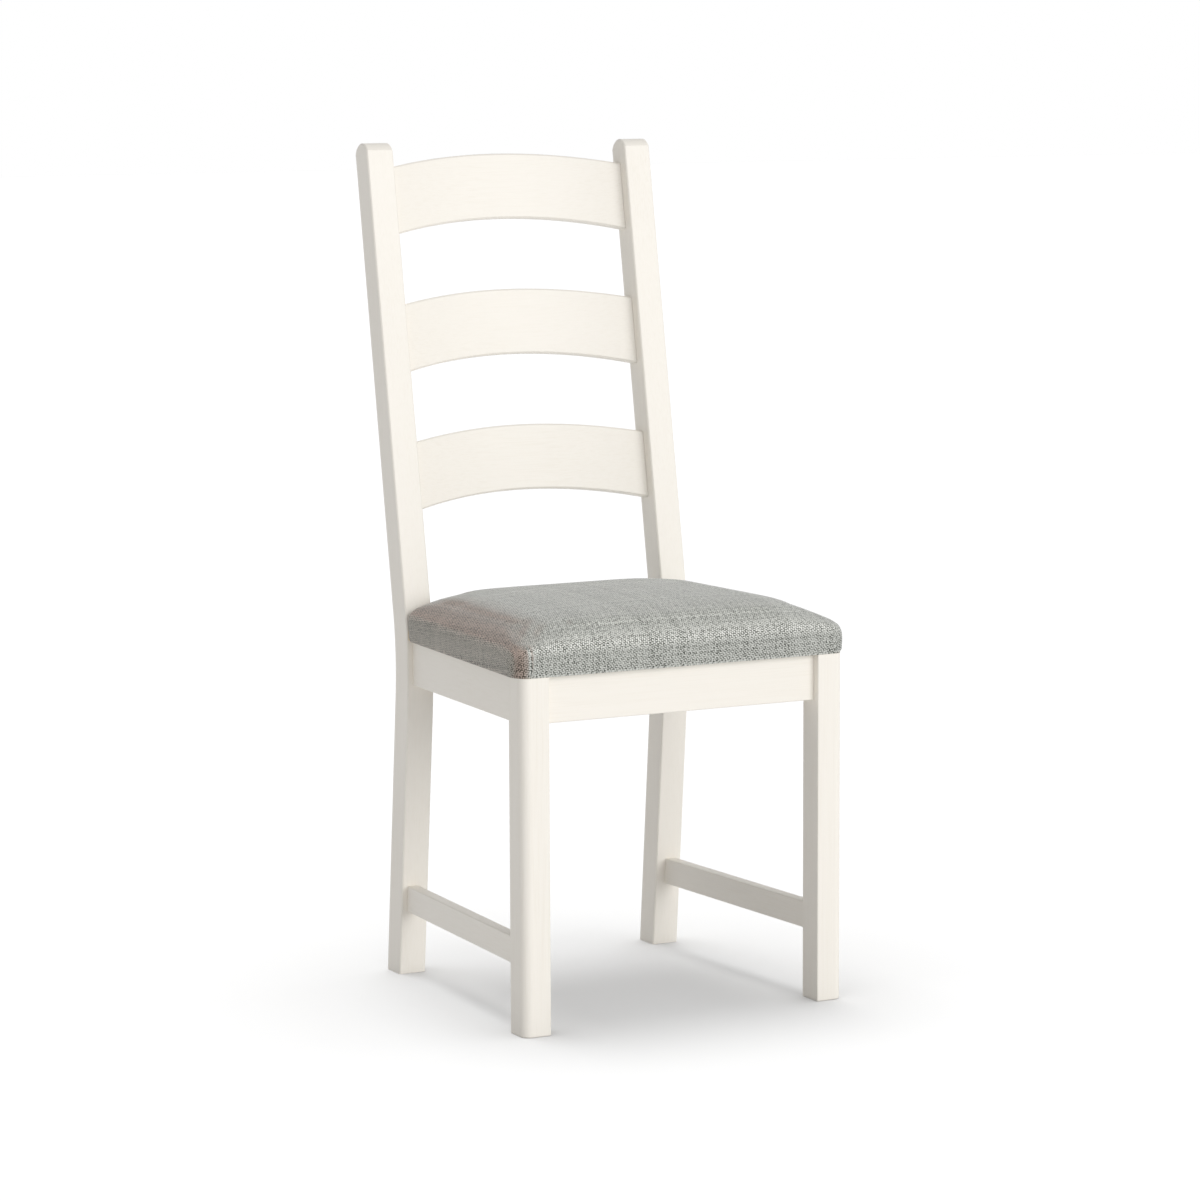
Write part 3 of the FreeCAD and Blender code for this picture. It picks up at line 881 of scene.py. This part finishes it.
    def map_cloth(self, pad: Object) -> None:
        """Lays the cloth over the pad: its map runs down each side by the length of the fabric.

        The fabric of the sides goes on round the front corners and ends at the pleats.

        Args:
            pad: the pad.
        """
        mesh = pad.data
        co, normals = points_of(mesh), normals_of(mesh)
        height = co[:, 2] / MM
        rolled = 1 - np.clip((height - self.side_top_mm) / self.roll_height_mm, 0, 1)
        extra = (np.clip(self.side_top_mm - height, 0, None) + self.roll_extra_mm * rolled ** 2) * MM
        weight = normals[:, :2] ** 2
        weight = weight / np.maximum(weight.sum(axis=1, keepdims=True), 1e-6)
        flat = co[:, :2] + np.sign(normals[:, :2]) * weight * extra[:, None]

        low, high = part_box("seat_cover")
        reach = self.pleat_inset_mm * MM
        centre_x = np.where(co[:, 0] < 0, low.x + reach, high.x - reach)
        outward = np.abs(co[:, 0]) - np.abs(centre_x)
        forward = low.y + reach - co[:, 1]
        radius = np.hypot(outward, forward)
        turned = np.arctan2(np.clip(forward, 0, None), np.clip(outward, 1e-6, None))
        share = np.clip(rolled, 0, 1)
        aside = (1 - share) * np.cos(turned) + share
        ahead = (1 - share) * radius * np.sin(turned) + share * reach * turned
        wrapped = np.stack(
            [centre_x + np.sign(co[:, 0]) * (radius + extra) * aside, low.y + reach - ahead], axis=1
        )

        corners = np.empty(len(mesh.loops), dtype=np.int64)
        mesh.loops.foreach_get("vertex_index", corners)
        counts = np.array([face.loop_total for face in mesh.polygons])
        centres = np.array([face.center[:] for face in mesh.polygons])
        at_corner = (np.abs(centres[:, 0]) > np.abs(low.x) - reach) & (centres[:, 1] < low.y + reach)
        wraps = np.repeat(at_corner, counts)[:, None]
        cloth = np.where(wraps, wrapped[corners], flat[corners])
        layer = mesh.uv_layers.get(TweedWeave.map_name) or mesh.uv_layers.new(name=TweedWeave.map_name)
        layer.data.foreach_set("uv", cloth.astype(np.float32).ravel())


def points_of(mesh: Mesh) -> np.ndarray:
    """Reads where the vertices are.

    Args:
        mesh: the mesh.

    Returns:
        Rows of x, y and z.
    """
    co = np.empty(len(mesh.vertices) * 3)
    mesh.vertices.foreach_get("co", co)
    return co.reshape(-1, 3)


def normals_of(mesh: Mesh) -> np.ndarray:
    """Reads which way the surface looks at each vertex.

    Args:
        mesh: the mesh.

    Returns:
        Rows of x, y and z.
    """
    normals = np.empty(len(mesh.vertices) * 3, dtype=np.float32)
    mesh.vertex_normals.foreach_get("vector", normals)
    return normals.reshape(-1, 3).astype(float)


def set_points(mesh: Mesh, co: np.ndarray) -> None:
    """Moves all vertices to new places."""
    mesh.vertices.foreach_set("co", co.ravel())
    mesh.update()


@dataclass
class DustCover:
    """Cloth that closes the underside of the pad, sagging a little, held by a row of staples."""

    sag_mm: float = 2.2
    thickness_mm: float = 0.4
    cells: tuple[int, int] = (44, 38)
    staple_pitch_mm: float = 42.0
    staple_inset_mm: float = 7.0
    staple_depth_mm: float = 0.85
    staple_slant_degrees: float = 9.0
    staple_length_mm: float = 7.4
    staple_width_mm: float = 1.12
    staple_height_mm: float = 0.64
    staple_bend_mm: tuple[float, float] = (0.8, 0.36)
    staple_round_mm: float = 0.12
    staple_seed: int = 7

    def build(self) -> None:
        """Makes the cloth and its staples."""
        low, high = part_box("dust_cover")
        cloth = self.cloth(low, high)
        hand_over(cloth, SpunCloth().material())
        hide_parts("dust_cover")
        hand_over(self.staples(high.z), ZincPlate().material())

    def cloth(self, low: Vector, high: Vector) -> Object:
        """Shapes the sheet from a grid: tapered, its corners cut off, sagging in the middle.

        Args:
            low: lowest corner of the CAD sheet.
            high: highest corner of the CAD sheet.

        Returns:
            The sheet with its thickness.
        """
        deselect()
        bpy.ops.mesh.primitive_grid_add(
            x_subdivisions=self.cells[0],
            y_subdivisions=self.cells[1],
            size=1,
            location=((low.x + high.x) / 2, (low.y + high.y) / 2, high.z - self.thickness_mm * MM),
        )
        cloth = bpy.context.active_object
        cloth.name = "underside_cloth"
        cloth.scale = (high.x - low.x, high.y - low.y, 1)
        settle(cloth)
        bpy.ops.object.mode_set(mode="EDIT")
        for start, end in sheet_sides("dust_cover"):
            side = end - start
            bpy.ops.mesh.select_all(action="SELECT")
            bpy.ops.mesh.bisect(plane_co=(*start, 0), plane_no=(side.y, -side.x, 0), clear_outer=True)
        bpy.ops.object.mode_set(mode="OBJECT")
        co = points_of(cloth.data)
        middle = np.array([(low.x + high.x) / 2, (low.y + high.y) / 2])
        half = np.array([high.x - low.x, high.y - low.y]) / 2
        share = np.clip(1 - ((co[:, :2] - middle) / half) ** 2, 0, 1)
        co[:, 2] -= self.sag_mm * MM * share[:, 0] * share[:, 1]
        set_points(cloth.data, co)
        apply_modifier(cloth, "SOLIDIFY", thickness=self.thickness_mm * MM, offset=0.0)
        activate(cloth)
        bpy.ops.object.shade_smooth()
        return cloth

    def staples(self, top: float) -> Object:
        """Sets a row of staples round the cloth, each pressed flat into it.

        Args:
            top: height of the board that the staples go into, in metres.

        Returns:
            All staples as one piece.
        """
        first = self.staple()
        pieces = []
        chance = np.random.default_rng(self.staple_seed)
        for start, end in sheet_sides("dust_cover"):
            side = end - start
            along = side.normalized()
            inward = Vector((-along.y, along.x)) * self.staple_inset_mm * MM
            count = max(1, round(side.length / (self.staple_pitch_mm * MM)))
            for index in range(count):
                spot = start + side * ((index + 0.5) / count) + inward
                copy = duplicate(first)
                copy.location = (spot.x, spot.y, top - self.staple_depth_mm * MM)
                slant = math.radians(chance.uniform(-self.staple_slant_degrees, self.staple_slant_degrees))
                copy.rotation_euler = (0, 0, math.atan2(along.y, along.x) + slant)
                settle(copy)
                pieces.append(copy)
        bpy.data.objects.remove(first)
        return join(pieces, "cloth_staples")

    def staple(self) -> Object:
        """Models one staple: a flat crown whose ends bend up into the board.

        Returns:
            The staple, centred on the origin and seen from below.
        """
        size = (self.staple_length_mm * MM, self.staple_width_mm * MM, self.staple_height_mm * MM)
        staple = box(size)
        out, up = self.staple_bend_mm[0] * MM, self.staple_bend_mm[1] * MM
        for way in (-1, 1):
            select_faces(staple, lambda face: face.normal.x * way > SQUARE_ON)
            bpy.ops.mesh.extrude_region_move(TRANSFORM_OT_translate={"value": (way * out, 0, up)})
            bpy.ops.object.mode_set(mode="OBJECT")
        apply_modifier(staple, "BEVEL", width=self.staple_round_mm * MM, segments=1)
        return staple


def node_points(node: str) -> np.ndarray:
    """Vertex places of a CAD node, as rows of x, y and z."""
    return points_of(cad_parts[node].data)


def sheet_sides(node: str) -> list[tuple[Vector, Vector]]:
    """Finds the outer sides of a flat convex sheet of the CAD model, in order round it.

    Args:
        node: the sheet's CAD node.

    Returns:
        The start and the end of each side, anticlockwise as seen from above.
    """
    spots = sorted({(round(x, 5), round(y, 5)) for x, y, _ in node_points(node)})

    def half_way_round(ordered: Sequence[tuple[float, float]]) -> list[tuple[float, float]]:
        """Follows one half of the outline, without the points that lie on a straight run.

        Args:
            ordered: all points, in the order in which the half runs.

        Returns:
            The half's corners, without its last one.
        """
        chain: list[tuple[float, float]] = []
        for spot in ordered:
            while len(chain) > 1 and turn(chain[-2], chain[-1], spot) < 1e-8:
                chain.pop()
            chain.append(spot)
        return chain[:-1]

    corners = [Vector(spot) for spot in half_way_round(spots) + half_way_round(spots[::-1])]
    return list(zip(corners, corners[1:] + corners[:1]))


def turn(a: tuple[float, float], b: tuple[float, float], c: tuple[float, float]) -> float:
    """Twice the area of the triangle a, b, c, over zero where it turns left."""
    return (b[0] - a[0]) * (c[1] - a[1]) - (b[1] - a[1]) * (c[0] - a[0])


@dataclass
class SeatScrews:
    """Four screws that hold the pad down through the corner blocks, with cross recesses."""

    node: str = "seat_fixing_screws"
    head_radius_mm: float = 4.0
    head_height_mm: float = 2.6
    shank_radius_mm: float = 2.0
    point_mm: float = 4.0
    slot_mm: float = 1.1
    slot_length_mm: float = 4.6
    slot_depth_mm: float = 1.5
    rim_faces: int = 40
    point_share: float = 0.08
    round_share: float = 0.45
    round_faces: int = 4
    smooth_below_degrees: float = 35.0

    def build(self) -> None:
        """Models one screw, copies it to the four places and hands them over."""
        co = node_points(self.node)
        spots = []
        for side_x in (-1, 1):
            for side_y in (-1, 1):
                middle_y = (co[:, 1].max() + co[:, 1].min()) / 2
                own = co[(co[:, 0] * side_x > 0) & ((co[:, 1] - middle_y) * side_y > 0)]
                low, high = own.min(axis=0), own.max(axis=0)
                spots.append(Vector((*((low + high) / 2)[:2], low[2])))
        first = self.screw(float(co[:, 2].max() - co[:, 2].min()))
        copies = [first, *(duplicate(first) for _ in spots[1:])]
        for copy, spot in zip(copies, spots):
            copy.location = spot
            settle(copy)
        screws = join(copies, "seat_screws")
        hand_over(screws, ZincPlate().material())
        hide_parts(self.node)

    def screw(self, length: float) -> Object:
        """Turns a cylinder into a pan-head screw that stands on its head at the origin.

        Args:
            length: the whole length, head included, in metres.

        Returns:
            The screw.
        """
        head = self.head_height_mm * MM
        deselect()
        bpy.ops.mesh.primitive_cylinder_add(
            vertices=self.rim_faces, radius=self.head_radius_mm * MM, depth=head, location=(0, 0, head / 2)
        )
        screw = bpy.context.active_object
        settle(screw)
        select_faces(screw, lambda face: face.normal.z > SQUARE_ON)
        bpy.ops.mesh.inset(thickness=(self.head_radius_mm - self.shank_radius_mm) * MM)
        shank = length - head - self.point_mm * MM
        bpy.ops.mesh.extrude_region_move(TRANSFORM_OT_translate={"value": (0, 0, shank)})
        bpy.ops.mesh.extrude_region_move(TRANSFORM_OT_translate={"value": (0, 0, self.point_mm * MM)})
        bpy.ops.transform.resize(value=(self.point_share, self.point_share, 1))
        select_faces(screw, lambda face: face.normal.z < -SQUARE_ON)
        bpy.ops.mesh.bevel(offset=self.round_share * head, segments=self.round_faces, affect="EDGES")
        bpy.ops.object.mode_set(mode="OBJECT")
        for size in ((self.slot_length_mm, self.slot_mm), (self.slot_mm, self.slot_length_mm)):
            carve(screw, (size[0] * MM, size[1] * MM, 2 * self.slot_depth_mm * MM))
        activate(screw)
        bpy.ops.object.shade_smooth_by_angle(angle=math.radians(self.smooth_below_degrees))
        return screw


def direction(azimuth: float, elevation: float) -> Vector:
    """The way out from the chair, so many degrees right of its front and above the floor."""
    side, rise = math.radians(azimuth), math.radians(elevation)
    return Vector((math.sin(side) * math.cos(rise), -math.cos(side) * math.cos(rise), math.sin(rise)))


@dataclass
class Studio:
    """Pale floor, soft light from the front right, and the camera at the photograph's place."""

    azimuth: float = -27.872
    elevation: float = 7.641
    roll: float = -0.237
    distance_mm: float = 5336.5
    focal_px: float = 4207.5
    frame_px: float = 1200.0
    target_mm: tuple[float, float, float] = (0.25, -33.7, 496.2)
    sensor_mm: float = 36.0
    floor_size: float = 60.0
    floor_white: float = 0.62
    floor_bounce: float = 0.44
    floor_lift: float = 0.04
    ambient: float = 0.43
    lamp_distance: float = 4.0
    # Each lamp's strength, azimuth, elevation and softness, the last three in degrees.
    key_light: tuple[float, ...] = (1.44, 20.0, 20.0, 44.0)
    floor_dome: tuple[float, ...] = (2.4, 0.0, 90.0, 170.0)
    floor_light: tuple[float, ...] = (1.45, 180.0, 80.0, 34.0)

    def build(self) -> None:
        """Sets the camera, the floor and the lights."""
        self.camera()
        floor = self.floor()
        self.world()
        chair = [obj for obj in bpy.context.scene.objects if obj.type == "MESH" and obj != floor]
        self.sun("key_light", chair, *self.key_light)
        self.sun("floor_dome", [floor], *self.floor_dome)
        self.sun("floor_light", [floor], *self.floor_light)

    def camera(self) -> None:
        """Puts the camera where the perspective of the photograph places it."""
        back = direction(self.azimuth, self.elevation)
        data = bpy.data.cameras.new("photo_camera")
        data.sensor_width = self.sensor_mm
        data.lens = self.focal_px / self.frame_px * data.sensor_width
        data.clip_end = 100.0
        camera = bpy.data.objects.new("photo_camera", data)
        bpy.context.scene.collection.objects.link(camera)
        place = Vector(self.target_mm) * MM + back * self.distance_mm * MM
        level = (-back).to_track_quat("-Z", "Y").to_matrix().to_4x4()
        tilt = Matrix.Rotation(math.radians(self.roll), 4, "Z")
        camera.matrix_world = Matrix.Translation(place) @ level @ tilt
        bpy.context.scene.camera = camera

    def floor(self) -> Object:
        """Lays a wide white floor that looks as pale as the background and keeps the shadow.

        Returns:
            The floor.
        """
        deselect()
        bpy.ops.mesh.primitive_plane_add(size=self.floor_size, location=(0, 0, 0))
        floor = bpy.context.active_object
        floor.name = "studio_floor"
        material, tree = new_material("white_floor")
        seen = self.seen_directly(tree)
        whites = {"Factor": seen, 6: (*[self.floor_bounce] * 3, 1.0), 7: (*[self.floor_white] * 3, 1.0)}
        white = add_node(tree, "Mix", whites, data_type="RGBA").outputs[2]
        matt = add_node(tree, "BsdfDiffuse", {"Color": white}).outputs[0]
        lift = add_node(tree, "Math", {0: seen, 1: self.floor_lift}, operation="MULTIPLY").outputs[0]
        glow = add_node(tree, "Emission", {"Strength": lift}).outputs[0]
        close_material(tree, add_node(tree, "AddShader", {0: matt, 1: glow}).outputs[0])
        floor.data.materials.append(material)
        return floor

    def seen_directly(self, tree: NodeTree) -> NodeSocket:
        """One for camera, mirror and glass rays, and zero for the rays that carry light.

        Args:
            tree: the node tree that asks.

        Returns:
            The socket with the answer.
        """
        path = add_node(tree, "LightPath").outputs
        mirrored = add_node(
            tree, "Math", {0: path["Is Camera Ray"], 1: path["Is Glossy Ray"]}, operation="MAXIMUM"
        ).outputs[0]
        return add_node(
            tree, "Math", {0: mirrored, 1: path["Is Transmission Ray"]}, operation="MAXIMUM"
        ).outputs[0]

    def world(self) -> None:
        """Fills the room with even light and shows a white background."""
        world = bpy.data.worlds.new("white_room")
        world.use_nodes = True
        tree = world.node_tree
        tree.nodes.clear()
        seen = self.seen_directly(tree)
        strength = add_node(
            tree, "Mix", {"Factor": seen, 2: self.ambient, 3: 1.0}, data_type="FLOAT"
        ).outputs[0]
        sky = add_node(tree, "Background", {"Color": (1, 1, 1, 1), "Strength": strength}).outputs[0]
        add_node(tree, "OutputWorld", {"Surface": sky})
        bpy.context.scene.world = world

    def sun(
        self,
        name: str,
        lit: Sequence[Object],
        strength: float,
        azimuth: float,
        elevation: float,
        softness: float,
    ) -> None:
        """Adds a soft lamp that shines from far away on some objects only.

        Args:
            name: the lamp's name.
            lit: the objects that it lights.
            strength: its strength.
            azimuth: degrees to the right of the chair's front.
            elevation: degrees above the floor.
            softness: how wide the source looks, in degrees.
        """
        towards = direction(azimuth, elevation)
        data = bpy.data.lights.new(name, "SUN")
        data.energy = strength
        data.angle = math.radians(softness)
        lamp = bpy.data.objects.new(name, data)
        lamp.rotation_mode = "QUATERNION"
        lamp.rotation_quaternion = (-towards).to_track_quat("-Z", "Y")
        lamp.location = towards * self.lamp_distance
        bpy.context.scene.collection.objects.link(lamp)
        receivers = bpy.data.collections.new("lit_by_" + name)
        for obj in lit:
            receivers.objects.link(obj)
        lamp.light_linking.receiver_collection = receivers


def main() -> None:
    """Builds the chair's parts in order, then the studio."""
    bpy.context.scene.view_settings.view_transform = "Standard"
    for part in (WoodenFrame(), HiddenWood(), SeatPad(), DustCover(), SeatScrews(), Studio()):
        log.info("building %s", type(part).__name__)
        part.build()


if __name__ == "__main__":
    main()
